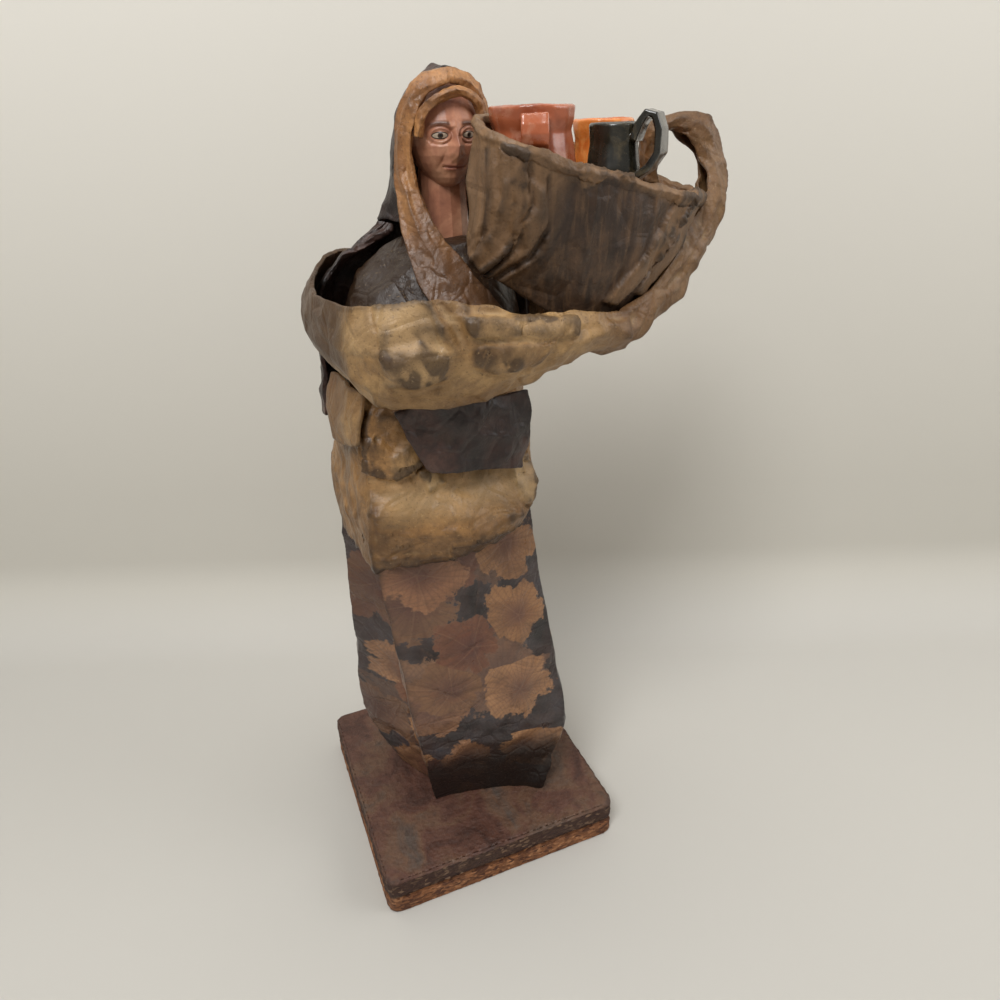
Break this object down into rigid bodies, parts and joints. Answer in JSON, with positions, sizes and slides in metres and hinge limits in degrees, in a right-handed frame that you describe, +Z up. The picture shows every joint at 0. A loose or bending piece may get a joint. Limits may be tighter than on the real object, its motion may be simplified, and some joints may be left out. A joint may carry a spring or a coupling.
{
  "type": "papier-mache figure",
  "caption": "Standing papier-mache figure in kraft-paper shawl and skirt, carrying a paper trough of small glazed pots, on a square chipboard foot.",
  "frame": {"origin": "centre of the square board's underside", "axes": "+Z up along the figure, -Y the way the figure faces, +X the figure's left"},
  "size_m": [0.1654, 0.128, 0.3355],
  "materials": {
    "chipboard": "rough pressed board, brown paint on top",
    "leaf_paper": "printed leaf paper under satin varnish",
    "tan_paper": "satin varnished kraft paper",
    "kraft_paper": "satin varnished kraft paper",
    "ochre_paper": "satin varnished kraft paper",
    "dark_paper": "satin varnished black-brown paper",
    "basket_paper": "brushed dark brown varnished paper",
    "painted_clay": "painted clay, satin",
    "terracotta_glaze": "gloss",
    "orange_glaze": "gloss",
    "green_glaze": "gloss"
  },
  "bodies": {
    "root": {"base_board": "chipboard", "skirt": "leaf_paper", "tunic": "tan_paper", "head": "painted_clay", "hair_roll": "ochre_paper", "scarf": "ochre_paper", "shawl": "dark_paper", "sling": "kraft_paper", "shawl_flap": "dark_paper", "side_flap": "kraft_paper", "basket": "basket_paper", "jar": "terracotta_glaze", "cup": "orange_glaze", "mug": "green_glaze"}
  },
  "joints": []
}
